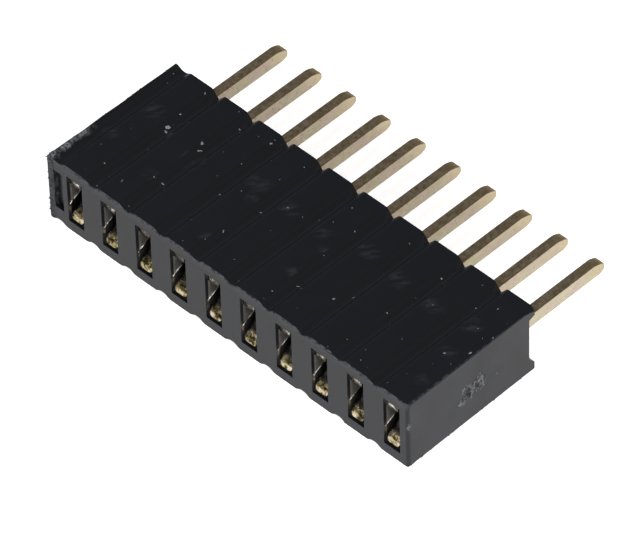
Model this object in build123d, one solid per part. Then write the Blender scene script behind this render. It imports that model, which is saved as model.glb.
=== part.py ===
from build123d import *
import math
import os

# Pin socket strip, one row, lying on one long side.
# X runs along the row, +Y from the mating face to the tails, +Z up through the thickness.
# The cell functions work from the middle of the row and the mating face; the last step moves
# every piece so that the origin is under the middle of the whole part. All sizes in mm.

# Row
ways = 10
pitch = 1.27

# Housing moulding
body_thickness = 2.27
body_depth = 4.47
end_setback = 0.06            # moulded end, short of the last cell's boundary
end_draft = 0.05              # how much shorter the row is at the board side
end_corner_radius = 0.1
end_edge_radius = 0.06
stub_width = 0.35             # what is left of the next cell at the cut end
cut_edge_radius = 0.05

# Break grooves along Y between the cells, on both long sides
groove_width = 0.5
groove_depth = 0.1
groove_flank = 0.17
groove_radius = 0.2           # where a flank meets the side and the groove's bottom

# V notch that deepens each groove at the board side, upper side only
notch_width = 0.43
notch_depth = 0.27
notch_length = 0.34

# Lands that stand the board side off the circuit board
land_height = 0.2
land_tip_upper = 0.26
land_base_upper = 0.34
land_tip_lower = 0.29
land_base_lower = 0.5

# Sockets and the cavities behind them
socket_width = 0.568
socket_height = 1.625
mating_wall = 0.11
side_plate_room = 0.13        # how much wider the cavity is on the side of the side plate

# Shallow pocket in the mating face beside the cut end
pocket_width = 0.33
pocket_depth = 0.13
pocket_from_socket = 0.165    # wall between the pocket and the first socket
pocket_floor_rise = 0.2       # its lower end, above the cavities' floor
pocket_roof_drop = 0.08       # its upper end, below the cavities' roof

# Torn gate in the middle of the moulded end: a nub, a chip and a hollow between them
gate_drop = 0.15              # its middle, below the middle of the thickness
gate_nub_length = 0.46
gate_nub_height = 0.42
gate_nub_rise = 0.05
gate_nub_y = 0.3              # its middle, from the middle of the mark
gate_nub_z = 0.08
gate_chip_length = 0.3
gate_chip_height = 0.22
gate_chip_rise = 0.03
gate_chip_y = -0.31
gate_chip_z = -0.15
gate_hollow_length = 0.22
gate_hollow_height = 0.4
gate_hollow_depth = 0.1
gate_hollow_y = -0.1
gate_hollow_z = 0.06
gate_slope = 0.6              # a torn patch's top, or a hollow's bottom, as a share of its outline

# Contact: strip, and how it lies in the cavity
strip = 0.12
contact_setback = 0.01        # front edge of the plates, behind the mating wall
mating_pin = 0.4              # square pin that the contact grips
grip = 0.04                   # how much the lower beam rises into the pin's space

# Upper plate
upper_width = 0.52
upper_lip_drop = 0.2          # top of its front edge, below the cavity's roof
upper_bend_y = 0.8
upper_bend_radius = 0.4

# Side plate
side_front_drop = 0.3         # its lower front corner, below the middle of the thickness
side_shoulder_drop = 0.04
side_shoulder_y = 0.56
side_slope_y = 0.95
side_roll = 0.04              # rolled lower edge where it was sheared

# Lower beam
beam_width = 0.42
beam_gap = 0.06               # between the side plate and the beam
beam_crest_y = 0.68
beam_foot_y = 2.45
nose_y = 0.15
nose_rise = 0.2               # bend over the nose, above the cavity's floor
nose_drop = 0.065             # clear height under the nose
nose_corner_radius = 0.12
crest_radius = 0.2
foot_radius = 0.5
nose_radius = 0.1

# Root that grips the cavity
root_start_y = 2.9
root_end_y = 4.05
root_bend_radius = 0.08

# Solder tail
tail_thickness = 0.3
tail_width = 0.44
tail_length = 3.0             # beyond the lands
tail_rise = 0.16              # its middle, above the middle of the thickness
tail_upper_taper = 0.5
tail_upper_fall = 0.15
tail_lower_taper = 0.33
tail_lower_fall = 0.11
tail_jog_y = 4.25
tail_edge_radius = 0.03
tail_tip_radius = 0.04

# Worked out from the sizes above
full_depth = body_depth + land_height
half_row = ways * pitch / 2
body_left = -half_row - stub_width
body_right = half_row - end_setback
mid_height = body_thickness / 2
cavity_floor = mid_height - socket_height / 2
cavity_roof = mid_height + socket_height / 2
cavity_left = -socket_width / 2 - side_plate_room
cavity_right = socket_width / 2
tail_tip_y = full_depth + tail_length
gate_x = body_right - end_draft / 2
middle_x = (body_left + max(body_right, gate_x + gate_nub_rise)) / 2
middle_y = tail_tip_y / 2

# How far the rough cut end falls short of its furthest point, at even steps along Y
cut_dips = (0.0, 0.03, 0.012, 0.04, 0.02, 0.045, 0.015, 0.0)

# How far a torn outline reaches at even turns around it, as a share of an ellipse
torn_reach = (1.0, 0.8, 0.97, 0.72, 1.0, 0.84, 0.92, 0.75)


def prism_yz(outline, x_low, x_high):
    """Solid between two X planes from an outline of (y, z) points or edges."""
    edges = Polyline(*outline, close=True) if isinstance(outline[0], tuple) else outline
    return extrude(Plane.YZ.offset(x_low) * make_face(edges), amount=x_high - x_low)


def prism_xz(outline, y_low, y_high):
    """Solid between two Y planes from an outline of (x, z) points."""
    face = Plane.XZ.offset(-y_low) * make_face(Polyline(*outline, close=True))
    return extrude(face, amount=-(y_high - y_low))


def prism_xy(outline, z_low, z_high):
    """Solid between two Z planes from an outline of (x, y) points or edges."""
    edges = Polyline(*outline, close=True) if isinstance(outline[0], tuple) else outline
    return extrude(Plane.XY.offset(z_low) * make_face(edges), amount=z_high - z_low)


def block(x_low, x_high, y_low, y_high, z_low, z_high):
    """Plain box between two corners."""
    return prism_xy([(x_low, y_low), (x_high, y_low), (x_high, y_high), (x_low, y_high)], z_low, z_high)


def cell_middles():
    """X of the middle of each cell, from the cut end to the moulded end."""
    return [(number + 0.5) * pitch - half_row for number in range(ways)]


def cell_boundaries():
    """X of each boundary between cells, with both ends of the row."""
    return [number * pitch - half_row for number in range(ways + 1)]


def row_section():
    """Section across X and Z: a bar with break grooves in its upper and lower side."""
    low_half = groove_width / 2
    section = Polyline(
        (body_left, 0), (body_right, 0), (body_right, body_thickness), (body_left, body_thickness),
        close=True,
    )
    section = make_face(section)
    for x in cell_boundaries()[:-1]:
        for side, inwards in ((0, 1), (body_thickness, -1)):
            groove = Polyline(
                (x - low_half - groove_flank, side - inwards * groove_depth),
                (x - low_half + groove_flank, side + inwards * groove_depth),
                (x + low_half - groove_flank, side + inwards * groove_depth),
                (x + low_half + groove_flank, side - inwards * groove_depth),
                close=True,
            )
            section -= make_face(groove)
    return fillet(section.vertices().sort_by(Axis.X)[2:-2], groove_radius)


def row_plan():
    """Plan across X and Y: drafted moulded end with a rounded corner, wavering line at the cut end."""
    step = full_depth / (len(cut_dips) - 1)
    cut = [(body_left + dip, full_depth - step * number) for number, dip in enumerate(cut_dips)]
    plan = make_face([
        Line((body_left, 0), (body_right, 0)),
        Line((body_right, 0), (body_right - end_draft, full_depth)),
        Line((body_right - end_draft, full_depth), (body_left, full_depth)),
        Spline(*cut),
    ])
    return fillet(plan.vertices().sort_by(Axis.X)[-1], end_corner_radius)


def board_side_recess():
    """Hollow between the upper and lower lands, over the whole row."""
    return prism_yz(
        [
            (body_depth, land_base_lower),
            (full_depth, land_tip_lower),
            (full_depth + land_height, land_tip_lower),
            (full_depth + land_height, body_thickness - land_tip_upper),
            (full_depth, body_thickness - land_tip_upper),
            (body_depth, body_thickness - land_base_upper),
        ],
        body_left - pitch,
        body_right + pitch,
    )


def board_side_notch(x):
    """V that runs out along the break groove from the board side."""
    deep = Plane.XZ.offset(-full_depth) * make_face(Polyline(
        (x - notch_width / 2, body_thickness),
        (x, body_thickness - notch_depth),
        (x + notch_width / 2, body_thickness),
        close=True,
    ))
    start = full_depth - notch_length
    shallow = Plane.XZ.offset(-start) * make_face(Polyline(
        (x - groove_flank, body_thickness),
        (x, body_thickness - groove_depth),
        (x + groove_flank, body_thickness),
        close=True,
    ))
    return loft([shallow.face(), deep.face()], ruled=True)


def cell_cavity(x):
    """Socket through the mating wall, and the wider cavity that is open to the board side."""
    half = socket_width / 2
    socket = block(x - half, x + half, -mating_wall, mating_wall, cavity_floor, cavity_roof)
    room = block(
        x + cavity_left, x + cavity_right, mating_wall, full_depth + land_height, cavity_floor, cavity_roof
    )
    return socket + room


def end_pocket():
    """Pocket in the mating face between the cut end and the first socket."""
    right = cell_middles()[0] - socket_width / 2 - pocket_from_socket
    return block(
        right - pocket_width, right, -pocket_depth, pocket_depth,
        cavity_floor + pocket_floor_rise, cavity_roof - pocket_roof_drop,
    )


def torn_outline(length, height):
    """Jagged outline around the origin, inside an ellipse of this length and height."""
    turn = 2 * math.pi / len(torn_reach)
    points = [
        (length / 2 * reach * math.cos(turn * place), height / 2 * reach * math.sin(turn * place))
        for place, reach in enumerate(torn_reach)
    ]
    return make_face(Polyline(*points, close=True))


def torn_patch(length, height, rise):
    """Torn solid on the XY plane, smaller at its other end."""
    foot = torn_outline(length, height)
    end = Pos(0, 0, rise) * torn_outline(length * gate_slope, height * gate_slope)
    return loft([foot.face(), end.face()], ruled=True)


def gate_mark(housing):
    """What breaking off the gate left in the middle of the moulded end."""
    middle = (gate_x, full_depth / 2, mid_height - gate_drop)
    face = Plane(origin=middle, x_dir=(-end_draft, full_depth, 0), z_dir=(full_depth, end_draft, 0))
    hollow = torn_patch(gate_hollow_length, gate_hollow_height, -gate_hollow_depth)
    housing -= face * Pos(gate_hollow_y, gate_hollow_z, 0) * hollow
    nub = torn_patch(gate_nub_length, gate_nub_height, gate_nub_rise)
    chip = torn_patch(gate_chip_length, gate_chip_height, gate_chip_rise)
    housing += face * Pos(gate_nub_y, gate_nub_z, 0) * nub
    return housing + face * Pos(gate_chip_y, gate_chip_z, 0) * chip


def solid_row():
    """Grooved bar with both ends as they are, and their long edges rounded."""
    bar = extrude(Plane.XZ * row_section(), amount=-full_depth)
    bar = fillet(bar.edges().filter_by(Axis.Y).group_by(Axis.X)[0], cut_edge_radius)
    drafted = [
        (body_left, 0), (body_right, 0), (body_right - end_draft, full_depth), (body_left, full_depth),
    ]
    bar &= prism_xy(drafted, 0, body_thickness)
    end_face = bar.faces().sort_by(Axis.X)[-1]
    across = Vector(-end_draft, full_depth, 0)
    long_edges = [edge for edge in end_face.edges() if abs((edge % 0).dot(across)) > body_depth]
    bar = fillet(long_edges, end_edge_radius)
    return bar & extrude(row_plan(), amount=body_thickness)


def make_housing():
    """One moulding: grooved bar, lands, sockets, cavities, pocket and gate mark."""
    housing = solid_row()
    housing -= board_side_recess()
    for x in cell_boundaries()[1:]:
        housing -= board_side_notch(x)
    for x in cell_middles():
        housing -= cell_cavity(x)
    housing -= end_pocket()
    return gate_mark(housing)


def bent_strip(points, radii, x_low, x_high):
    """Strip of sheet swept along a bent line of (y, z) points, from one X to another."""
    corners = [(0, y, z) for y, z in points]
    path = FilletPolyline(*corners, radius=radii)
    section = Plane(origin=path @ 0, x_dir=(1, 0, 0), z_dir=path % 0) * Rectangle(x_high - x_low, strip)
    return Pos((x_low + x_high) / 2, 0, 0) * sweep(section, path=path)


def upper_plate_line():
    """Middle line of the upper plate, front to back, as (y, z) points."""
    seat = mid_height + mating_pin / 2 + strip / 2
    lip = cavity_roof - upper_lip_drop - strip / 2
    return [(mating_wall, lip), (upper_bend_y, seat), (root_start_y + strip, seat)]


def upper_plate():
    """Fixed upper plate that the pin is pressed against, with a lead-in at its lip."""
    return bent_strip(upper_plate_line(), upper_bend_radius, cavity_left, cavity_left + upper_width)


def side_plate():
    """Plate against the cavity's side wall; its lower edge follows the beam's arch."""
    lip, bend, back = upper_plate_line()
    outline = [
        lip,
        bend,
        (beam_foot_y, bend[1]),
        (root_start_y, cavity_roof - strip),
        (root_end_y, cavity_roof - strip),
        (root_end_y, cavity_floor + strip),
        (root_start_y, cavity_floor + strip),
        (side_slope_y, mid_height - side_shoulder_drop),
        (side_shoulder_y, mid_height - side_shoulder_drop),
        (lip[0], mid_height - side_front_drop),
    ]
    plate = prism_yz(outline, cavity_left, cavity_left + strip)
    inner_edges = plate.faces().sort_by(Axis.X)[-1].edges()
    sheared = inner_edges.filter_by_position(Axis.Y, lip[0], side_slope_y).sort_by(Axis.Z)[0:2]
    return fillet(sheared, side_roll)


def lower_beam():
    """Sprung beam: from the root's floor up to the crest, then down to a curled nose."""
    floor = cavity_floor + strip / 2
    crest = mid_height - mating_pin / 2 + grip - strip / 2
    line = [
        (root_start_y + strip, floor),
        (beam_foot_y, floor),
        (beam_crest_y, crest + strip / 2),
        (nose_y, cavity_floor + nose_rise),
        (nose_y - nose_radius / 3, cavity_floor + nose_drop),
    ]
    left = cavity_left + strip + beam_gap
    beam = bent_strip(line, [foot_radius, crest_radius, nose_radius], left, left + beam_width)
    nose_end = beam.faces().sort_by(Axis.Y)[0:3].sort_by(Axis.Z)[0]
    corners = nose_end.edges().filter_by(GeomType.LINE).sort_by(SortBy.LENGTH)[0:2]
    return fillet(corners, nose_corner_radius)


def root():
    """Root: a folded channel that bears on the cavity's floor, roof and both sides."""
    outer = [
        (cavity_left, cavity_floor), (cavity_right, cavity_floor),
        (cavity_right, cavity_roof), (cavity_left, cavity_roof),
    ]
    inner = [
        (cavity_left + strip, cavity_floor + strip), (cavity_right + strip, cavity_floor + strip),
        (cavity_right + strip, cavity_roof - strip), (cavity_left + strip, cavity_roof - strip),
    ]
    channel = prism_xz(outer, root_start_y, root_end_y)
    folds = channel.edges().filter_by(Axis.Y).group_by(Axis.X)[0]
    channel = fillet(folds, root_bend_radius)
    return channel - prism_xz(inner, root_start_y, root_end_y)


def tail():
    """Solder tail: leaves the side plate's back edge, jogs to the cell's middle, tapers at its tip."""
    half = tail_thickness / 2
    left = cavity_left
    right = cavity_left + strip
    plan = [
        (left, root_end_y - 2 * strip),
        (right, root_end_y - 2 * strip),
        (half, tail_jog_y - strip),
        (half, tail_tip_y),
        (-half, tail_tip_y),
        (-half, tail_jog_y + strip / 2),
        (left, root_end_y),
    ]
    low = mid_height + tail_rise - tail_width / 2
    high = mid_height + tail_rise + tail_width / 2
    bar = prism_xy(plan, low, high)
    long_edges = [edge for edge in bar.edges().filter_by(Axis.Y) if edge.length > tail_length]
    bar = fillet(long_edges, tail_edge_radius)
    upper_start = tail_tip_y - tail_upper_taper
    lower_start = tail_tip_y - tail_lower_taper
    tip_low = low + tail_lower_fall
    tip_high = high - tail_upper_fall
    upper_curve = TangentArc((upper_start, high), (tail_tip_y, tip_high), tangent=(1, 0))
    lower_curve = TangentArc((lower_start, low), (tail_tip_y, tip_low), tangent=(1, 0))
    profile = make_face([
        Line((body_depth / 2, low), (lower_start, low)),
        lower_curve,
        Line((tail_tip_y, tip_low), (tail_tip_y, tip_high)),
        upper_curve,
        Line((upper_start, high), (body_depth / 2, high)),
        Line((body_depth / 2, high), (body_depth / 2, low)),
    ])
    profile = fillet(profile.vertices().sort_by(Axis.X)[-2:], tail_tip_radius)
    return bar & extrude(Plane.YZ.offset(-pitch / 2) * profile, amount=pitch)


def make_contact():
    """One contact about the middle of its cell: upper plate, side plate, beam, root and tail."""
    plates = side_plate() + upper_plate()
    plates -= block(cavity_left, cavity_right, 0, mating_wall + contact_setback, 0, body_thickness)
    return plates + root() + lower_beam() + tail()


def write_node(solid, name):
    """Moves a piece so that the origin is under the middle of the part, and writes it."""
    placed = Pos(-middle_x, -middle_y, 0) * solid
    placed.label = name
    export_step(placed, f"parts/{name}.step")


os.makedirs("parts", exist_ok=True)
write_node(make_housing(), "housing")
contact = make_contact()
for number, x in enumerate(cell_middles(), start=1):
    write_node(Pos(x, 0, 0) * contact, f"contact_{number:02d}")
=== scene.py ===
import bpy
import bmesh
import math
import random
from mathutils import Matrix, Quaternion, Vector
from mathutils.bvhtree import BVHTree


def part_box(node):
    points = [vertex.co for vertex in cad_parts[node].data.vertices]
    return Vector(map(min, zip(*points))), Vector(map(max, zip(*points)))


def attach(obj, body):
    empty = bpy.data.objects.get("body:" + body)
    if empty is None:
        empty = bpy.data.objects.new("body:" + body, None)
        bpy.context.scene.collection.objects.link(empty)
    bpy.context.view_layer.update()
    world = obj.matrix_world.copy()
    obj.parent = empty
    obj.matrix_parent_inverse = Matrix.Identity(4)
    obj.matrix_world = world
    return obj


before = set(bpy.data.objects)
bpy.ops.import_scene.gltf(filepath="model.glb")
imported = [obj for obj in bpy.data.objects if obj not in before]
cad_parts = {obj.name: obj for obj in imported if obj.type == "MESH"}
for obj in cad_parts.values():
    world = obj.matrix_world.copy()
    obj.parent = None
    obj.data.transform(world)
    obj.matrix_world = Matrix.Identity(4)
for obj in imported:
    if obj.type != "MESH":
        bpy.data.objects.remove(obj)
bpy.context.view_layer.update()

MM = 0.001
WAYS = 10
SOCKET_WIDTH = 0.568 * MM
LIP_DROP = 0.26 * MM
contacts = [f"contact_{number:02d}" for number in range(1, WAYS + 1)]
tail_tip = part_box(contacts[0])[1][1]
# Middle of the upper plate's front edge, under the top of the contact
lip_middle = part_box(contacts[0])[1][2] - LIP_DROP

# The housing's own box gives every place below
low, high = [Vector(corner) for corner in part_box("housing")]
cut_end = low.x
moulded_end = high.x
mating_face = low.y
board_side = high.y
top = high.z

# Every place in the lists is in mm from the row's middle, the mating face and the underside
PITCH = 1.27
UPPER = 2.27
# Where the polymer tore, and how far each tear reaches along X, Y and Z: round the gate on the
# moulded end, at that end's front corner, and along the cut end's upper edge
TEARS = [
    ((6.28, 2.66, 1.12), (0.3, 0.3, 0.42)),
    ((6.28, 2.3, 1.04), (0.3, 0.3, 0.42)),
    ((6.28, 1.98, 0.88), (0.3, 0.26, 0.24)),
    ((6.28, 2.05, 1.26), (0.3, 0.14, 0.16)),
    ((6.34, 0.03, 1.42), (0.2, 0.16, 0.32)),
    ((-6.62, 0.1, UPPER), (0.16, 0.2, 0.2)),
    ((-6.6, 0.62, UPPER), (0.2, 0.36, 0.2)),
    ((-6.62, 1.22, UPPER), (0.16, 0.3, 0.2)),
]
# Where the upper side and, in the last two, the moulded end were rubbed, with the reach of each
SCUFFS = [
    ((-6.13, 1.73, UPPER), (0.5, 0.3, 0.2)),
    ((-5.82, 3.03, UPPER), (0.5, 0.4, 0.2)),
    ((-3.8, 2.4, UPPER), (0.5, 0.4, 0.2)),
    ((-4.1, 1.3, UPPER), (0.5, 0.3, 0.2)),
    ((-2.0, 3.0, UPPER), (0.5, 0.5, 0.2)),
    ((-1.64, 2.55, UPPER), (0.4, 0.3, 0.2)),
    ((-0.81, 2.93, UPPER), (0.5, 0.32, 0.2)),
    ((0.3, 2.95, UPPER), (0.6, 0.4, 0.2)),
    ((1.0, 2.45, UPPER), (0.35, 0.25, 0.2)),
    ((1.74, 3.22, UPPER), (0.55, 0.36, 0.2)),
    ((2.99, 2.99, UPPER), (0.6, 0.36, 0.2)),
    ((4.29, 2.95, UPPER), (0.55, 0.32, 0.2)),
    ((5.53, 3.12, UPPER), (0.45, 0.4, 0.2)),
    ((5.68, 2.02, UPPER), (0.4, 0.3, 0.2)),
    ((5.88, 0.87, UPPER), (0.35, 0.3, 0.2)),
    ((-1.58, 0.72, UPPER), (0.35, 0.25, 0.2)),
    ((0.9, 1.4, UPPER), (0.4, 0.3, 0.2)),
    ((6.28, 3.25, 0.94), (0.2, 0.12, 0.12)),
    ((6.26, 3.2, 1.4), (0.2, 0.6, 0.3)),
]
# Specks of dust on the upper side: X, Y and size
DUST = [
    (-5.18, 2.89, 0.21), (-5.12, 2.76, 0.13), (-4.06, 3.05, 0.12), (-3.96, 2.84, 0.15),
    (-5.26, 3.43, 0.08), (-5.32, 4.4, 0.07), (-5.37, 0.8, 0.07), (-4.59, 0.66, 0.09),
    (-4.99, 0.15, 0.07), (-2.76, 4.27, 0.08), (-3.82, 1.37, 0.1), (-4.09, 1.33, 0.08),
    (-1.43, 1.2, 0.09), (-1.25, 2.37, 0.07), (-2.47, 2.1, 0.08), (2.32, 1.41, 0.11),
    (6.15, 2.41, 0.1), (5.68, 1.96, 0.09), (3.76, 3.85, 0.08), (-3.78, 4.14, 0.07),
    (6.2, 3.18, 0.08), (5.6, 3.99, 0.07), (1.31, 1.15, 0.08), (1.01, 0.53, 0.07),
    (5.7, 3.16, 0.04), (-2.78, 4.43, 0.05), (2.6, 1.84, 0.06), (-1.53, 4.24, 0.06),
    (3.63, 2.0, 0.06), (1.04, 3.49, 0.06), (6.06, 1.8, 0.04), (1.06, 2.34, 0.05),
    (3.56, 0.63, 0.05), (5.11, 3.7, 0.05), (6.02, 2.98, 0.04), (-0.28, 2.92, 0.05),
    (2.35, 4.14, 0.05), (-1.54, 0.66, 0.05), (-2.79, 3.21, 0.05), (0.41, 4.03, 0.05),
    (0.08, 0.24, 0.05), (-0.79, 2.9, 0.05), (4.31, 2.97, 0.05),
]
# Pale crumbs and torn lips round the gate: Y, Z and size
GATE_LIPS = [
    (2.06, 1.31, 0.1), (2.02, 1.24, 0.08), (1.97, 1.19, 0.07), (2.63, 1.45, 0.1),
    (2.55, 1.36, 0.09), (2.46, 1.27, 0.1), (2.42, 1.2, 0.09), (2.36, 1.1, 0.11),
    (2.33, 1.02, 0.1), (2.31, 0.93, 0.1), (2.3, 0.84, 0.09), (2.31, 0.78, 0.07),
    (2.02, 0.85, 0.08), (1.88, 0.82, 0.09), (2.15, 0.84, 0.08), (1.93, 0.76, 0.07),
    (2.1, 0.95, 0.07), (2.78, 0.9, 0.08), (2.5, 0.91, 0.09), (2.64, 0.86, 0.07),
    (3.25, 0.95, 0.07), (2.22, 1.3, 0.07), (2.14, 1.38, 0.06),
]


def cell_middle(number):
    """X of the middle of a cell, counted from the cut end; a contact's +X side lies on its socket's."""
    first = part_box(contacts[0])[1][0] - SOCKET_WIDTH / 2
    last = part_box(contacts[-1])[1][0] - SOCKET_WIDTH / 2
    return first + (last - first) * (number - 1) / (WAYS - 1)


row_middle = cell_middle((WAYS + 1) / 2)


def at(x, y, z):
    """Place in metres of a point in mm from the row's middle, the mating face and the underside."""
    return Vector((row_middle + x * MM, mating_face + y * MM, z * MM))


def linear(colour):
    """Linear red, green, blue and alpha of an sRGB hex colour."""
    parts = [int(colour[place:place + 2], 16) / 255 for place in (1, 3, 5)]
    return tuple(v / 12.92 if v <= 0.04045 else ((v + 0.055) / 1.055) ** 2.4 for v in parts) + (1.0,)


def add(tree, kind, inputs=None, **settings):
    """Adds a node; an input is a value, a socket, or a node that stands for its first live output."""
    node = tree.nodes.new(kind)
    for name, value in settings.items():
        setattr(node, name, value)
    for name, value in (inputs or {}).items():
        if isinstance(value, bpy.types.Node):
            value = next(output for output in value.outputs if output.enabled)
        if isinstance(value, bpy.types.NodeSocket):
            tree.links.new(value, node.inputs[name])
        else:
            node.inputs[name].default_value = value
    return node


def new_material(name):
    """A material with an empty tree."""
    material = bpy.data.materials.new(name)
    material.use_nodes = True
    material.node_tree.nodes.clear()
    return material, material.node_tree


def per_mm(size):
    """Scale of a texture whose features are this many millimetres across."""
    return 1 / (size * MM)


def spread_over(tree, place, spots):
    """Mask that is 1 in the middle of each listed spot and falls to 0 at its reach."""
    mask = None
    for centre, reach in spots:
        away = add(tree, "ShaderNodeVectorMath", {0: place, 1: at(*centre)}, operation="SUBTRACT")
        share = add(tree, "ShaderNodeVectorMath", {
            0: away, 1: [per_mm(side) for side in reach],
        }, operation="MULTIPLY")
        length = add(tree, "ShaderNodeVectorMath", {0: share}, operation="LENGTH")
        spot = add(tree, "ShaderNodeMapRange", {"Value": length, "To Min": 1.0, "To Max": 0.0})
        if mask is None:
            mask = spot
        else:
            mask = add(tree, "ShaderNodeMath", {0: mask, 1: spot}, operation="MAXIMUM")
    return mask


def moulded_skin(tree, cloud, facing):
    """Near black, and duller, greyer and lighter on the moulded end, which is painted light."""
    skin = add(tree, "ShaderNodeMix", {
        "Factor": cloud, "A": linear("#090b11"), "B": linear("#12141c"),
    }, data_type="RGBA")
    to_end = add(tree, "ShaderNodeMapRange", {
        "Value": facing.outputs["X"], "From Min": 0.8, "From Max": 0.95,
    })
    uneven = add(tree, "ShaderNodeMapRange", {"Value": cloud, "From Min": 0.35, "From Max": 0.65})
    # Greyer, lighter colour on faces that look along +X, the moulded end: painted light.
    end_painted_light = add(tree, "ShaderNodeMix", {
        "Factor": uneven, "A": linear("#161619"), "B": linear("#24252b"),
    }, data_type="RGBA")
    return add(tree, "ShaderNodeMix", {"Factor": to_end, "A": skin, "B": end_painted_light}, data_type="RGBA")


def snapped_end(tree, across, shreds, upward):
    """Mask of the cut end with its ragged border, which leaves the upper side clean further back."""
    ragged = add(tree, "ShaderNodeMath", {
        0: shreds, 1: 0.5 * MM, 2: across.outputs["X"],
    }, operation="MULTIPLY_ADD")
    torn = add(tree, "ShaderNodeMapRange", {
        "Value": ragged, "From Min": cut_end + 0.46 * MM, "From Max": cut_end + 0.4 * MM,
    })
    far_back = add(tree, "ShaderNodeMapRange", {
        "Value": across.outputs["Y"],
        "From Min": mating_face + 1.2 * MM, "From Max": mating_face + 1.7 * MM,
    })
    clean_top = add(tree, "ShaderNodeMath", {0: upward, 1: far_back}, operation="MULTIPLY")
    return add(tree, "ShaderNodeMath", {0: torn, 1: clean_top}, operation="SUBTRACT", use_clamp=True)


def rubbed_skin(tree, place, near_tear, skin):
    """Faint scuffs, broken up into short strokes, and a paler halo round each tear."""
    strokes = add(tree, "ShaderNodeMapping", {
        "Vector": place, "Rotation": (0, 0, 0.9), "Scale": (3.2, 1.0, 1.0),
    }, vector_type="TEXTURE")
    stroke = add(tree, "ShaderNodeTexNoise", {
        "Vector": strokes, "Scale": per_mm(0.15), "Detail": 5.0, "Roughness": 0.7,
    })
    streaky = add(tree, "ShaderNodeMapRange", {"Value": stroke, "From Min": 0.42, "From Max": 0.66})
    rub = add(tree, "ShaderNodeMath", {
        0: spread_over(tree, place, SCUFFS), 1: streaky,
    }, operation="MULTIPLY")
    scuffed = add(tree, "ShaderNodeMapRange", {
        "Value": rub, "From Min": 0.05, "From Max": 0.6, "To Max": 0.85,
    })
    rubbed = add(tree, "ShaderNodeMix", {
        "Factor": scuffed, "A": skin, "B": linear("#262a2f"),
    }, data_type="RGBA")
    strained = add(tree, "ShaderNodeMapRange", {
        "Value": near_tear, "From Min": 0.2, "From Max": 0.7, "To Max": 0.8,
    })
    return add(tree, "ShaderNodeMix", {
        "Factor": strained, "A": rubbed, "B": linear("#2a2b2f"),
    }, data_type="RGBA")


def groove_skin(tree, across, facing, upward, shallow, skin):
    """Painted light low on the grooves' flanks that face the cut end, against the shade at their foot,
    and painted shade on the flanks opposite.
    """
    leaning = add(tree, "ShaderNodeMapRange", {
        "Value": facing.outputs["X"], "From Min": -0.1, "From Max": -0.3,
    })
    in_groove = add(tree, "ShaderNodeMath", {0: leaning, 1: shallow}, operation="MULTIPLY")
    low_down = add(tree, "ShaderNodeMapRange", {
        "Value": across.outputs["Z"], "From Min": top - 0.01 * MM, "From Max": top - 0.05 * MM,
    })
    flank_foot = add(tree, "ShaderNodeMath", {0: in_groove, 1: low_down}, operation="MULTIPLY")
    # Paler low on the flanks that face the cut end: painted light against the shade at their foot.
    painted_light_foot = add(tree, "ShaderNodeMath", {0: flank_foot, 1: upward}, operation="MULTIPLY")
    foot_lit_skin = add(tree, "ShaderNodeMix", {
        "Factor": painted_light_foot, "A": skin, "B": linear("#181a1f"),
    }, data_type="RGBA")
    other_flank = add(tree, "ShaderNodeMapRange", {
        "Value": facing.outputs["X"], "From Min": 0.1, "From Max": 0.3,
    })
    # Darker on the flanks that face the moulded end: painted shade.
    painted_shade_flank = add(tree, "ShaderNodeMath", {0: other_flank, 1: upward}, operation="MULTIPLY")
    return add(tree, "ShaderNodeMix", {
        "Factor": painted_shade_flank, "A": foot_lit_skin, "B": linear("#0b0c10"),
    }, data_type="RGBA")


def worn_and_highlit_edges(tree, across, upward, shallow, cloud, shreds, skin):
    """The upper side's front edge rubbed pale and painted with its edge highlight, its end edge less
    so, and the mating face's upper rim greyer in patches, a painted highlight.
    """
    front_edge = add(tree, "ShaderNodeMapRange", {
        "Value": across.outputs["Y"],
        "From Min": mating_face + 0.05 * MM, "From Max": mating_face + 0.03 * MM,
    })
    end_edge = add(tree, "ShaderNodeMapRange", {
        "Value": across.outputs["X"],
        "From Min": moulded_end - 0.1 * MM, "From Max": moulded_end - 0.06 * MM,
    })
    faint_end = add(tree, "ShaderNodeMath", {0: end_edge, 1: 0.35}, operation="MULTIPLY")
    edges = add(tree, "ShaderNodeMath", {0: front_edge, 1: faint_end}, operation="MAXIMUM")
    near_top = add(tree, "ShaderNodeMath", {0: upward, 1: shallow}, operation="MULTIPLY")
    highlit_top_edges = add(tree, "ShaderNodeMath", {0: edges, 1: near_top}, operation="MULTIPLY")
    wear = add(tree, "ShaderNodeMapRange", {"Value": shreds, "From Min": 0.42, "From Max": 0.56})
    worn = add(tree, "ShaderNodeMath", {0: highlit_top_edges, 1: wear}, operation="MULTIPLY")
    up_rim = add(tree, "ShaderNodeMapRange", {
        "Value": across.outputs["Z"], "From Min": top - 0.26 * MM, "From Max": top - 0.04 * MM,
    })
    front_rim = add(tree, "ShaderNodeMath", {0: front_edge, 1: up_rim}, operation="MULTIPLY")
    painted_rim_highlight = add(tree, "ShaderNodeMath", {0: front_rim, 1: cloud}, operation="MULTIPLY")
    # Paler patches along the mating face's upper rim: painted highlight.
    rim = add(tree, "ShaderNodeMix", {
        "Factor": painted_rim_highlight, "A": skin, "B": linear("#35363b"),
    }, data_type="RGBA")
    # Pale on the upper side's front and end edges: rubbed, and painted highlight.
    return add(tree, "ShaderNodeMix", {
        "Factor": worn, "A": rim, "B": linear("#56585c"),
    }, data_type="RGBA")


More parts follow.
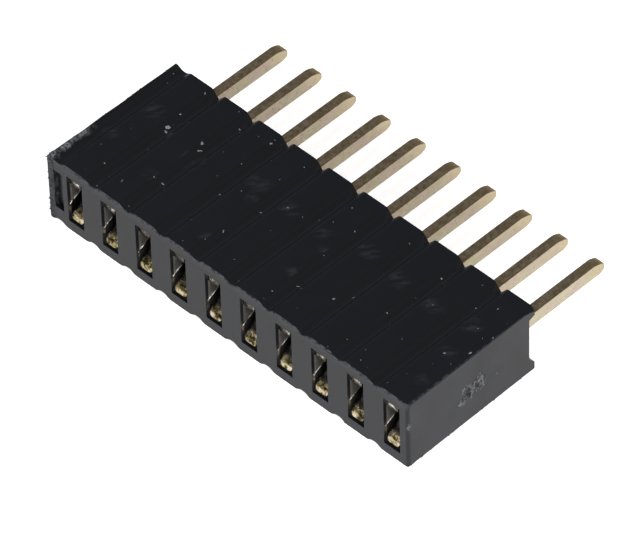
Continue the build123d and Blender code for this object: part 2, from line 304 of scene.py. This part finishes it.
def painted_light_socket_walls(tree, across, skin):
    """Inner walls of the sockets and cavities painted grey, as painted light where little light gets
    in.
    """
    past_socket = SOCKET_WIDTH / 2 + 0.05 * MM
    in_sockets = None
    for axis, least, most in (
        ("X", cell_middle(1) - past_socket, cell_middle(WAYS) + past_socket),
        ("Y", mating_face + 0.1 * MM, board_side - 0.55 * MM),
        ("Z", 0.13 * MM, top - 0.13 * MM),
    ):
        within = add(tree, "ShaderNodeMath", {
            0: across.outputs[axis], 1: (least + most) / 2, 2: (most - least) / 2,
        }, operation="COMPARE")
        if in_sockets is None:
            in_sockets = within
        else:
            in_sockets = add(tree, "ShaderNodeMath", {0: in_sockets, 1: within}, operation="MULTIPLY")
    # Grey inside the sockets, for light that hardly reaches there: painted light.
    return add(tree, "ShaderNodeMix", {
        "Factor": in_sockets, "A": skin, "B": linear("#4a4847"),
    }, data_type="RGBA")


# Glass-filled liquid-crystal polymer, injection moulded: near black, with the flat satin of a
# fibre-filled skin. It goes grey and rough where the strip was snapped off and the gate was torn,
# and has faint pale scuffs where it was rubbed. Its fibres are about 0.01 mm thick, so the grain and
# the broken flecks are drawn several times as coarse, to show at all.
def moulded_black_polymer():
    material, tree = new_material("moulded black liquid-crystal polymer")
    coordinates = add(tree, "ShaderNodeTexCoord")
    place = coordinates.outputs["Object"]
    across = add(tree, "ShaderNodeSeparateXYZ", {"Vector": place})
    facing = add(tree, "ShaderNodeSeparateXYZ", {"Vector": coordinates.outputs["Normal"]})
    cloud = add(tree, "ShaderNodeTexNoise", {
        "Vector": place, "Scale": per_mm(1.6), "Detail": 4.0, "Roughness": 0.6,
    })
    shreds = add(tree, "ShaderNodeTexNoise", {
        "Vector": place, "Scale": per_mm(0.16), "Detail": 4.0, "Roughness": 0.6,
    })
    flecks = add(tree, "ShaderNodeTexNoise", {
        "Vector": place, "Scale": per_mm(0.09), "Detail": 3.0, "Roughness": 0.6,
    })
    grain = add(tree, "ShaderNodeTexNoise", {
        "Vector": place, "Scale": per_mm(0.06), "Detail": 3.0, "Roughness": 0.7,
    })
    upward = add(tree, "ShaderNodeMath", {0: facing.outputs["Z"], 1: 0.6}, operation="GREATER_THAN")
    shallow = add(tree, "ShaderNodeMath", {
        0: across.outputs["Z"], 1: top - 0.12 * MM,
    }, operation="GREATER_THAN")

    # Broken up, pale and dark, where it was snapped or torn
    near_tear = spread_over(tree, place, TEARS)
    gate = add(tree, "ShaderNodeMath", {0: near_tear, 1: shreds}, operation="ADD")
    gate_torn = add(tree, "ShaderNodeMapRange", {"Value": gate, "From Min": 0.85, "From Max": 1.0})
    broken = add(tree, "ShaderNodeMath", {
        0: snapped_end(tree, across, shreds, upward), 1: gate_torn,
    }, operation="MAXIMUM")
    pale = add(tree, "ShaderNodeMapRange", {"Value": flecks, "From Min": 0.38, "From Max": 0.6})
    frayed = add(tree, "ShaderNodeMix", {
        "Factor": gate_torn, "A": linear("#4e5054"), "B": linear("#6c6e73"),
    }, data_type="RGBA")
    broken_colour = add(tree, "ShaderNodeMix", {
        "Factor": pale, "A": linear("#151619"), "B": frayed,
    }, data_type="RGBA")

    skin = moulded_skin(tree, cloud, facing)
    skin = rubbed_skin(tree, place, near_tear, skin)
    skin = groove_skin(tree, across, facing, upward, shallow, skin)
    skin = worn_and_highlit_edges(tree, across, upward, shallow, cloud, shreds, skin)
    skin = painted_light_socket_walls(tree, across, skin)
    colour = add(tree, "ShaderNodeMix", {
        "Factor": broken, "A": skin, "B": broken_colour,
    }, data_type="RGBA")
    rough = add(tree, "ShaderNodeMapRange", {"Value": broken, "To Min": 0.32, "To Max": 0.7})
    skin_bump = add(tree, "ShaderNodeBump", {
        "Height": grain, "Strength": 0.3, "Distance": 0.004 * MM,
    })
    rise = add(tree, "ShaderNodeMath", {0: flecks, 1: broken}, operation="MULTIPLY")
    bump = add(tree, "ShaderNodeBump", {
        "Height": rise, "Strength": 0.9, "Distance": 0.08 * MM, "Normal": skin_bump,
    })
    shader = add(tree, "ShaderNodeBsdfPrincipled", {
        "Base Color": colour, "Roughness": rough, "IOR": 1.5, "Normal": bump,
    })
    add(tree, "ShaderNodeOutputMaterial", {"Surface": shader})
    return material


def tail_colour(tree, place, along, facing, blotch, worn):
    """Dull gold flash mottled pink and green, bare bronze where sheared that is partly painted shade,
    painted shade on the corners, heavier gold at the tip.
    """
    film = add(tree, "ShaderNodeTexNoise", {
        "Vector": place, "Scale": per_mm(0.6), "Detail": 2.0, "Roughness": 0.5,
    })
    tinted = add(tree, "ShaderNodeMapRange", {"Value": film, "From Min": 0.35, "From Max": 0.65})
    pink = add(tree, "ShaderNodeMix", {
        "Factor": blotch, "A": linear("#cfbba6"), "B": linear("#f6e4d2"),
    }, data_type="RGBA")
    green = add(tree, "ShaderNodeMix", {
        "Factor": blotch, "A": linear("#c9bfa0"), "B": linear("#f4ebcc"),
    }, data_type="RGBA")
    dull = add(tree, "ShaderNodeMix", {"Factor": tinted, "A": pink, "B": green}, data_type="RGBA")
    pores = add(tree, "ShaderNodeTexNoise", {
        "Vector": place, "Scale": per_mm(0.055), "Detail": 2.0, "Roughness": 0.5,
    })
    pitted = add(tree, "ShaderNodeMapRange", {
        "Value": pores, "From Min": 0.64, "From Max": 0.7, "To Max": 0.7,
    })
    flash = add(tree, "ShaderNodeMix", {
        "Factor": pitted, "A": dull, "B": linear("#6f5e44"),
    }, data_type="RGBA")

    # The shear's bare bronze, on faces that look up or down, which also holds painted shade, and
    # painted shade along their corners
    upright = add(tree, "ShaderNodeMath", {0: facing.outputs["Z"]}, operation="ABSOLUTE")
    sheared_and_shaded = add(tree, "ShaderNodeMapRange", {"Value": upright, "From Min": 0.3, "From Max": 0.7})
    patchy = add(tree, "ShaderNodeMapRange", {"Value": worn, "From Min": 0.35, "From Max": 0.65})
    # Browner on faces that look up or down: bare bronze, and painted shade.
    bronze = add(tree, "ShaderNodeMix", {
        "Factor": patchy, "A": linear("#a08560"), "B": linear("#d3c4aa"),
    }, data_type="RGBA")
    cut_faces_and_shade = add(tree, "ShaderNodeMix", {
        "Factor": sheared_and_shaded, "A": flash, "B": bronze,
    }, data_type="RGBA")
    from_corner = add(tree, "ShaderNodeMath", {0: upright, 1: 0.75}, operation="SUBTRACT")
    off_corner = add(tree, "ShaderNodeMath", {0: from_corner}, operation="ABSOLUTE")
    corner = add(tree, "ShaderNodeMapRange", {
        "Value": off_corner, "From Min": 0.22, "From Max": 0.1, "To Max": 0.8,
    })
    # Darker along the corners between the faces: painted shade.
    corner_shaded = add(tree, "ShaderNodeMix", {
        "Factor": corner, "A": cut_faces_and_shade, "B": linear("#7a5a30"),
    }, data_type="RGBA")
    tip = add(tree, "ShaderNodeMapRange", {
        "Value": along.outputs["Y"],
        "From Min": tail_tip - 0.9 * MM, "From Max": tail_tip, "To Max": 0.4,
    })
    return add(tree, "ShaderNodeMix", {
        "Factor": tip, "A": corner_shaded, "B": linear("#e6cd92"),
    }, data_type="RGBA")


def spring_colour_and_painted_light(tree, place, nose, above_beam, wall):
    """Nickel painted dim as shade, gold on the nose with painted glints and painted dark reflections,
    the plate above dim with painted glints, paler nickel on the sides.
    """
    spots = add(tree, "ShaderNodeTexNoise", {
        "Vector": place, "Scale": per_mm(0.2), "Detail": 3.0, "Roughness": 0.7,
    })
    # Dark patches on the nose gold: painted dark reflections.
    gold_patch = add(tree, "ShaderNodeMapRange", {"Value": spots, "From Min": 0.4, "From Max": 0.5})
    # Pale spots on the nose and on the plate above: painted glints.
    painted_glint = add(tree, "ShaderNodeMapRange", {"Value": spots, "From Min": 0.52, "From Max": 0.62})
    gold_and_painted_dark = add(tree, "ShaderNodeMix", {
        "Factor": gold_patch, "A": linear("#4a4133"), "B": linear("#cbbb85"),
    }, data_type="RGBA")
    gold = add(tree, "ShaderNodeMix", {
        "Factor": painted_glint, "A": gold_and_painted_dark, "B": linear("#fdebd4"),
    }, data_type="RGBA")
    # The plate above the beam: dim, with pale spots, painted shade and painted glints.
    burnished = add(tree, "ShaderNodeMix", {
        "Factor": painted_glint, "A": linear("#6e675a"), "B": linear("#f2ecdf"),
    }, data_type="RGBA")
    wiping = add(tree, "ShaderNodeMix", {
        "Factor": above_beam, "A": gold, "B": burnished,
    }, data_type="RGBA")
    # Dim nickel on the rest of the spring: painted shade.
    spring = add(tree, "ShaderNodeMix", {
        "Factor": nose, "A": linear("#565452"), "B": wiping,
    }, data_type="RGBA")
    return add(tree, "ShaderNodeMix", {
        "Factor": wall, "A": spring, "B": linear("#c4c0b8"),
    }, data_type="RGBA")


def sheared_lip(tree, along, worn, above_beam, inner):
    """The upper plate's front edge, burnished above, and below a dark fracture that is also painted
    shade.
    """
    edge = add(tree, "ShaderNodeMapRange", {
        "Value": along.outputs["Y"],
        "From Min": mating_face + 0.2 * MM, "From Max": mating_face + 0.1 * MM,
    })
    fracture = add(tree, "ShaderNodeMath", {
        0: worn, 1: 0.06 * MM, 2: along.outputs["Z"],
    }, operation="MULTIPLY_ADD")
    under = add(tree, "ShaderNodeMapRange", {
        "Value": fracture,
        "From Min": lip_middle + 0.035 * MM, "From Max": lip_middle + 0.015 * MM,
    })
    shaded_edge = add(tree, "ShaderNodeMath", {0: edge, 1: under}, operation="MULTIPLY")
    fracture_and_painted_shade = add(tree, "ShaderNodeMath", {0: shaded_edge, 1: above_beam}, operation="MULTIPLY")
    # Dark lower part of the lip's front edge: a fracture, and painted shade.
    return add(tree, "ShaderNodeMix", {
        "Factor": fracture_and_painted_shade, "A": inner, "B": linear("#37342d"),
    }, data_type="RGBA")


# Phosphor bronze strip, nickel plated, with gold on the spring's nose and a thin flash of it on the
# tail. Inside the socket the nickel is smooth and greyish, painted dim as shade, with painted glints
# and painted dark reflections. The tails are pale and dull, mottled pink and green, with dark pores,
# and browner above and below where the shear left the bronze bare, partly painted shade, and with
# painted shade on their corners.
# The plating's pores are a few thousandths of a millimetre, and are drawn coarser, to show at all.
def gold_flashed_bronze():
    material, tree = new_material("gold-flashed phosphor bronze")
    coordinates = add(tree, "ShaderNodeTexCoord")
    place = coordinates.outputs["Object"]
    along = add(tree, "ShaderNodeSeparateXYZ", {"Vector": place})
    facing = add(tree, "ShaderNodeSeparateXYZ", {"Vector": coordinates.outputs["Normal"]})
    blotch = add(tree, "ShaderNodeTexNoise", {
        "Vector": place, "Scale": per_mm(0.22), "Detail": 5.0, "Roughness": 0.65,
    })
    worn = add(tree, "ShaderNodeTexNoise", {
        "Vector": place, "Scale": per_mm(0.12), "Detail": 5.0, "Roughness": 0.75,
    })
    nose = add(tree, "ShaderNodeMapRange", {
        "Value": along.outputs["Y"],
        "From Min": mating_face + 0.28 * MM, "From Max": mating_face + 0.17 * MM,
    })
    above_beam = add(tree, "ShaderNodeMath", {
        0: along.outputs["Z"], 1: lip_middle - 0.1 * MM,
    }, operation="GREATER_THAN")
    sideways = add(tree, "ShaderNodeMath", {0: facing.outputs["X"]}, operation="ABSOLUTE")
    wall = add(tree, "ShaderNodeMapRange", {"Value": sideways, "From Min": 0.5, "From Max": 0.9})
    outside = add(tree, "ShaderNodeMapRange", {
        "Value": along.outputs["Y"],
        "From Min": board_side - 0.9 * MM, "From Max": board_side - 0.5 * MM,
    })

    inner = spring_colour_and_painted_light(tree, place, nose, above_beam, wall)
    colour = add(tree, "ShaderNodeMix", {
        "Factor": outside,
        "A": sheared_lip(tree, along, worn, above_beam, inner),
        "B": tail_colour(tree, place, along, facing, blotch, worn),
    }, data_type="RGBA")
    rough = add(tree, "ShaderNodeMapRange", {"Value": outside, "To Min": 0.15, "To Max": 0.3})
    inside_wall = add(tree, "ShaderNodeMath", {
        0: wall, 1: outside,
    }, operation="SUBTRACT", use_clamp=True)
    dulled = add(tree, "ShaderNodeMath", {
        0: inside_wall, 1: 0.35, 2: rough,
    }, operation="MULTIPLY_ADD")
    uneven = add(tree, "ShaderNodeMath", {0: worn, 1: 0.1, 2: dulled}, operation="MULTIPLY_ADD")
    fine = add(tree, "ShaderNodeBump", {"Height": worn, "Strength": 0.5, "Distance": 0.012 * MM})
    dents = add(tree, "ShaderNodeMath", {0: blotch, 1: nose}, operation="MULTIPLY")
    bump = add(tree, "ShaderNodeBump", {
        "Height": dents, "Strength": 0.8, "Distance": 0.045 * MM, "Normal": fine,
    })
    shader = add(tree, "ShaderNodeBsdfPrincipled", {
        "Base Color": colour, "Metallic": 1.0, "Roughness": uneven, "Normal": bump,
    })
    add(tree, "ShaderNodeOutputMaterial", {"Surface": shader})
    return material


# Nickel burr that the shear left on a side plate's lower edge: bright, rough metal
def bright_burr():
    material, tree = new_material("burnished nickel burr")
    place = add(tree, "ShaderNodeTexCoord").outputs["Object"]
    hackle = add(tree, "ShaderNodeTexNoise", {
        "Vector": place, "Scale": per_mm(0.12), "Detail": 3.0,
    })
    bright = add(tree, "ShaderNodeMapRange", {"Value": hackle, "From Min": 0.4, "From Max": 0.58})
    tint = add(tree, "ShaderNodeMix", {
        "Factor": bright, "A": linear("#45423d"), "B": linear("#efeae0"),
    }, data_type="RGBA")
    bump = add(tree, "ShaderNodeBump", {"Height": hackle, "Strength": 0.5, "Distance": 0.01 * MM})
    shader = add(tree, "ShaderNodeBsdfPrincipled", {
        "Base Color": tint, "Metallic": 1.0, "Roughness": 0.5, "Normal": bump,
    })
    add(tree, "ShaderNodeOutputMaterial", {"Surface": shader})
    return material


# Household dust and lint: pale, dull fibres and crumbs
def pale_dust():
    material, tree = new_material("pale dust and lint")
    place = add(tree, "ShaderNodeTexCoord").outputs["Object"]
    mixed = add(tree, "ShaderNodeTexNoise", {"Vector": place, "Scale": per_mm(0.04), "Detail": 2.0})
    tint = add(tree, "ShaderNodeMix", {
        "Factor": mixed, "A": linear("#2c2e32"), "B": linear("#9c9fa4"),
    }, data_type="RGBA")
    shader = add(tree, "ShaderNodeBsdfPrincipled", {"Base Color": tint, "Roughness": 0.9})
    add(tree, "ShaderNodeOutputMaterial", {"Surface": shader})
    return material


# The housing's polymer where it tore: rough crumbs and thin flaps, greyed by its broken fibres,
# which are drawn coarser than they are, as on the housing
def torn_polymer(name, pale):
    material, tree = new_material(name)
    place = add(tree, "ShaderNodeTexCoord").outputs["Object"]
    fibres = add(tree, "ShaderNodeTexNoise", {
        "Vector": place, "Scale": per_mm(0.05), "Detail": 4.0, "Roughness": 0.7,
    })
    tint = add(tree, "ShaderNodeMix", {
        "Factor": fibres, "A": linear("#121214"), "B": linear(pale),
    }, data_type="RGBA")
    bump = add(tree, "ShaderNodeBump", {"Height": fibres, "Strength": 0.6, "Distance": 0.01 * MM})
    shader = add(tree, "ShaderNodeBsdfPrincipled", {
        "Base Color": tint, "Roughness": 0.6, "IOR": 1.55, "Normal": bump,
    })
    add(tree, "ShaderNodeOutputMaterial", {"Surface": shader})
    return material


def dress(node, material):
    """Gives a CAD node one material."""
    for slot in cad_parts[node].material_slots:
        slot.material = material


def in_scene(name, bm, material):
    """Puts a finished bmesh into the scene, in one material."""
    mesh = bpy.data.meshes.new(name)
    bm.to_mesh(mesh)
    bm.free()
    mesh.materials.append(material)
    made = bpy.data.objects.new(name, mesh)
    bpy.context.collection.objects.link(made)
    return made


# The side plate's inner face, from the contact's -X side, and the Y and Z of both ends of its
# sloping lower edge, from the mating face and the underside
SIDE_PLATE_FACE = 0.122 * MM
SLOPE_FRONT = (0.07 * MM, 0.875 * MM)
SLOPE_BACK = (0.46 * MM, 1.078 * MM)


def shear_burrs(material):
    """Thin burr along the sloping lower edge of each side plate, all as one piece."""
    bm = bmesh.new()
    for contact in contacts:
        inner_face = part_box(contact)[0][0] + SIDE_PLATE_FACE
        front = Vector((inner_face, mating_face + SLOPE_FRONT[0], SLOPE_FRONT[1]))
        back = Vector((inner_face, mating_face + SLOPE_BACK[0], SLOPE_BACK[1]))
        run = back - front
        burr = bmesh.ops.create_cone(
            bm, cap_ends=True, segments=10, radius1=0.022 * MM, radius2=0.008 * MM, depth=run.length,
        )["verts"]
        turn = run.to_track_quat("Z", "Y").to_matrix()
        bmesh.ops.rotate(bm, verts=burr, cent=(0, 0, 0), matrix=turn)
        bmesh.ops.translate(bm, verts=burr, vec=(front + back) / 2)
    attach(in_scene("shear_burrs", bm, material), "root")


def crumbs(name, spots, towards, material):
    """Small uneven crumbs as one piece; each lies where a ray from its spot meets the housing."""
    chance = random.Random(name)
    bm = bmesh.new()
    for x, y, z, size in spots:
        start = at(x, y, z) - Vector(towards) * MM
        landing, normal = housing_surface.ray_cast(start, Vector(towards))[:2]
        if landing is None:
            continue
        crumb = bmesh.ops.create_icosphere(bm, subdivisions=1, radius=size / 2 * MM)["verts"]
        for vert in crumb:
            vert.co *= chance.uniform(0.55, 1.2)
        flat = (chance.uniform(0.9, 1.5), chance.uniform(0.4, 0.8), 0.5)
        bmesh.ops.scale(bm, verts=crumb, vec=flat)
        turn = Matrix.Rotation(chance.uniform(0, math.tau), 3, "Z")
        lie = normal.to_track_quat("Z", "Y").to_matrix()
        bmesh.ops.rotate(bm, verts=crumb, cent=(0, 0, 0), matrix=lie @ turn)
        bmesh.ops.translate(bm, verts=crumb, vec=landing)
    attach(in_scene(name, bm, material), "root")


def scatter(chance, count, *measures):
    """Spots of X, Y, Z and size: a pair is a range to draw from, and a plain number stays."""
    return [
        [chance.uniform(*measure) if isinstance(measure, tuple) else measure for measure in measures]
        for spot in range(count)
    ]


# Plain studio: a pale table that stays white to the camera and in reflections, and keeps the shadow
def studio_floor():
    material, tree = new_material("white table")
    path = add(tree, "ShaderNodeLightPath")
    paper = add(tree, "ShaderNodeBsdfDiffuse", {"Color": linear("#e6e6e6")})
    to_camera = add(tree, "ShaderNodeMath", {
        0: path.outputs["Is Camera Ray"], 1: 0.7,
    }, operation="MULTIPLY")
    to_gloss = add(tree, "ShaderNodeMath", {
        0: path.outputs["Is Glossy Ray"], 1: 0.1, 2: to_camera,
    }, operation="MULTIPLY_ADD")
    glow = add(tree, "ShaderNodeEmission", {"Color": linear("#ffffff"), "Strength": to_gloss})
    both = add(tree, "ShaderNodeAddShader", {0: paper, 1: glow})
    add(tree, "ShaderNodeOutputMaterial", {"Surface": both})
    bm = bmesh.new()
    bmesh.ops.create_grid(bm, x_segments=1, y_segments=1, size=0.6)
    in_scene("table", bm, material)


def studio_world():
    """Dim, even light from all round, and a white backdrop that only the camera sees."""
    world = bpy.data.worlds.new("studio")
    world.use_nodes = True
    tree = world.node_tree
    tree.nodes.clear()
    path = add(tree, "ShaderNodeLightPath")
    room = add(tree, "ShaderNodeBackground", {"Color": linear("#ffffff"), "Strength": 0.15})
    backdrop = add(tree, "ShaderNodeBackground", {"Color": linear("#ffffff"), "Strength": 1.0})
    mix = add(tree, "ShaderNodeMixShader", {
        0: path.outputs["Is Camera Ray"], 1: room, 2: backdrop,
    })
    add(tree, "ShaderNodeOutputWorld", {"Surface": mix})
    bpy.context.scene.world = world


def soft_box(name, direction, distance, size, level):
    """Square area lamp that faces the strip; level 1 lights a facing surface as it is written."""
    data = bpy.data.lights.new(name, "AREA")
    data.shape = "SQUARE"
    data.size = size
    data.energy = level * math.pi * math.pi * distance ** 2
    lamp = bpy.data.objects.new(name, data)
    towards = Vector(direction).normalized()
    lamp.location = Vector((0, 0, top / 2)) + towards * distance
    lamp.rotation_euler = towards.to_track_quat("Z", "Y").to_euler()
    bpy.context.collection.objects.link(lamp)


def photo_camera():
    """Long lens at the photograph's angle."""
    azimuth = math.radians(45.822)
    elevation = math.radians(45.827)
    roll = math.radians(-1.758)
    distance = 175.24 * MM
    aim = Vector((row_middle + 1.319 * MM, mating_face + 1.935 * MM, top))
    data = bpy.data.cameras.new("photo view")
    data.sensor_width = 36
    data.lens = 387.67
    data.clip_start = 10 * MM
    data.clip_end = 10
    camera = bpy.data.objects.new("photo view", data)
    back = Vector((
        math.sin(azimuth) * math.cos(elevation),
        -math.cos(azimuth) * math.cos(elevation),
        math.sin(elevation),
    ))
    camera.location = aim + back * distance
    turn = back.to_track_quat("Z", "Y") @ Quaternion((0, 0, 1), roll)
    camera.rotation_euler = turn.to_euler()
    bpy.context.collection.objects.link(camera)
    bpy.context.scene.camera = camera


photo_camera()
studio_floor()
studio_world()
soft_box("left softbox", (-0.9, -0.3, 0.8), 120 * MM, 70 * MM, 0.2)
soft_box("right softbox", (0.85, -0.3, 0.5), 120 * MM, 70 * MM, 0.82)
soft_box("top softbox", (0.25, -0.35, 1.0), 140 * MM, 60 * MM, 0.4)

dress("housing", moulded_black_polymer())
plating = gold_flashed_bronze()
for contact in contacts:
    dress(contact, plating)

shape = bmesh.new()
shape.from_mesh(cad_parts["housing"].data)
housing_surface = BVHTree.FromBMesh(shape)
shape.free()

# Directions that crumbs come from, and X just outside each end of the housing
DOWN = (0, 0, -1)
FROM_LEFT = (1, 0, 0)
FROM_RIGHT = (-1, 0, 0)
FROM_FRONT = (0, 1, 0)
LEFT_OF_IT = -6.7
RIGHT_OF_IT = 6.6
chance = random.Random(1271)

dust = [(x, y, UPPER, size) for x, y, size in DUST]
dust += scatter(chance, 45, (-6.5, 6.2), (0.05, 4.6), UPPER, (0.02, 0.045))
crumbs("dust_specks", dust, DOWN, pale_dust())

torn = torn_polymer("torn liquid-crystal polymer", "#505156")
whitened = torn_polymer("stress-whitened liquid-crystal polymer", "#8a8c91")

# The cut end: along its front edge, along its upper edge, and all over
shards = scatter(chance, 60, LEFT_OF_IT, (0.0, 0.14), (0.08, 2.2), (0.04, 0.11))
shards += scatter(chance, 50, LEFT_OF_IT, (0.0, 4.4), (2.08, 2.26), (0.04, 0.1))
shards += scatter(chance, 60, LEFT_OF_IT, (0.1, 4.4), (0.1, 2.1), (0.05, 0.14))
crumbs("torn_crumbs", shards, FROM_LEFT, torn)
lips = [(RIGHT_OF_IT, y, z, size) for y, z, size in GATE_LIPS]
crumbs("gate_lips", lips, FROM_RIGHT, whitened)

# The mating face: where the grooves end in it, along both its long edges, and on its upper rim
burrs = []
for boundary in range(-4, 5):
    for side in (-0.12, 0.06, 0.1):
        burrs.append((boundary * PITCH + side, 0.0, 0.07, chance.uniform(0.06, 0.12)))
        burrs.append((boundary * PITCH + side, 0.0, 2.18, chance.uniform(0.05, 0.09)))
for burr in range(70):
    x = chance.uniform(-6.5, 6.4)
    burrs.append((x, 0.0, chance.choice((0.03, 2.24)), chance.uniform(0.03, 0.07)))
burrs += scatter(chance, 90, (-6.4, 6.3), 0.0, (2.2, 2.26), (0.04, 0.1))
crumbs("edge_burrs", burrs, FROM_FRONT, torn)

nicks = scatter(chance, 26, RIGHT_OF_IT, (0.1, 4.2), (0.02, 0.06), (0.03, 0.07))
crumbs("end_burrs", nicks, FROM_RIGHT, torn)
shear_burrs(bright_burr())

bpy.context.scene.view_settings.view_transform = "Standard"
